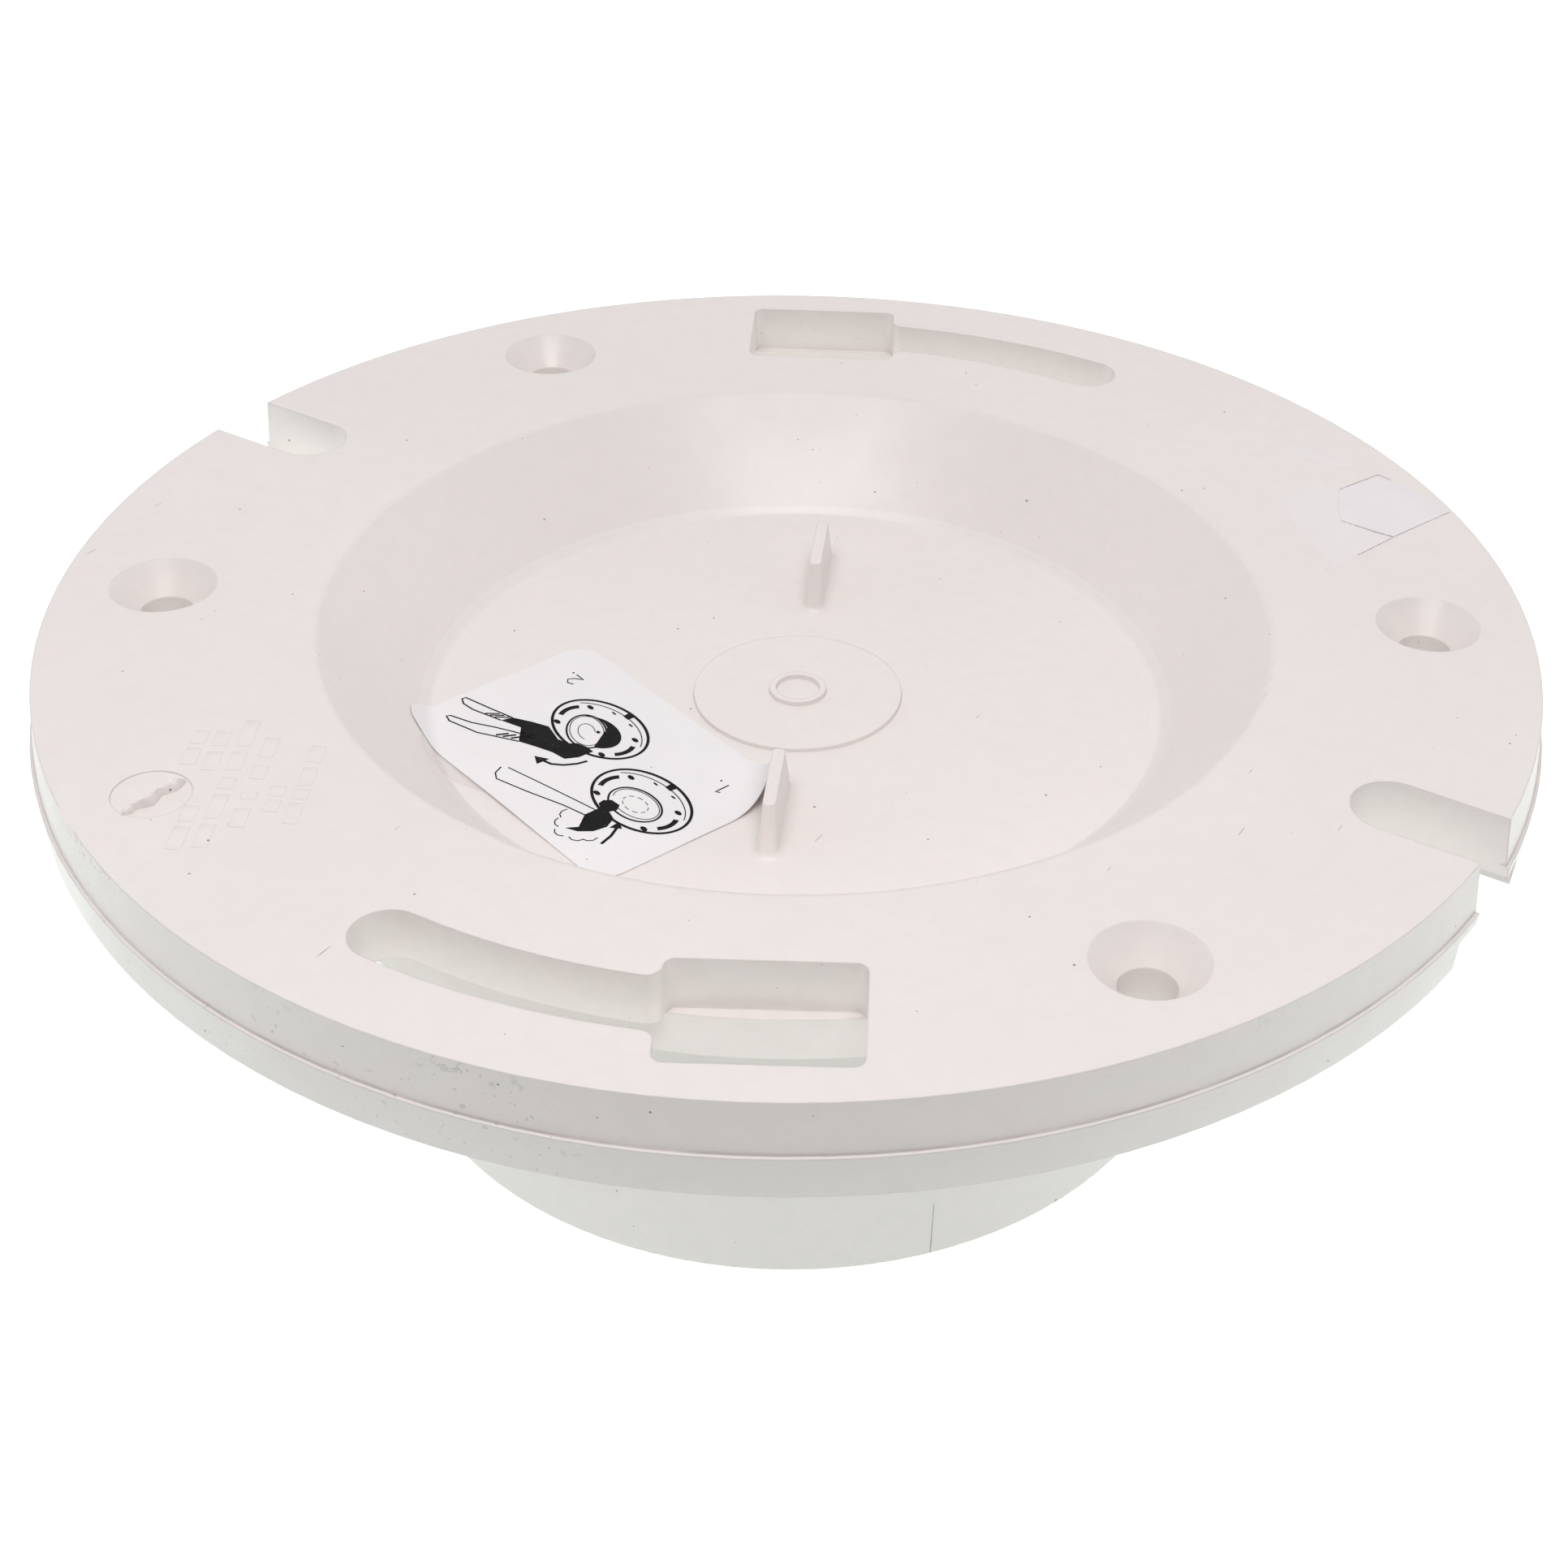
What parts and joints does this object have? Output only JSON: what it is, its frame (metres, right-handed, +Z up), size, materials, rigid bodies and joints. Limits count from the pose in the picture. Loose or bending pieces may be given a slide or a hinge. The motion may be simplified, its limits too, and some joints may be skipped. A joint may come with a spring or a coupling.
{
  "type": "closet flange with knock-out test plate",
  "caption": "Plastic toilet flange with countersunk screw holes, closet bolt slots and a knock-out test plate across its bowl.",
  "frame": {"origin": "on the pipe axis at the lower end of the hub", "axes": "+Z up along the pipe axis, out of the bowl; +X through the two open notches; +Y through the seats of the closet bolts"},
  "size_m": [0.1792, 0.1794, 0.0608],
  "materials": {
    "moulded_plastic": "satin white moulded PVC",
    "plate_plastic": "satin white moulded PVC",
    "label_paper": "matt white coated paper",
    "remnant_paper": "torn matt paper"
  },
  "bodies": {
    "flange": {"flange_body": "moulded_plastic", "label_remnant": "remnant_paper"},
    "plate": {"test_plate": "plate_plastic", "instruction_label": "label_paper"}
  },
  "joints": [
    {"name": "plate_knock_out", "type": "slide", "parent": "flange", "child": "plate", "axis": [0, 0, 1], "range_m": [0, 0.04]}
  ]
}
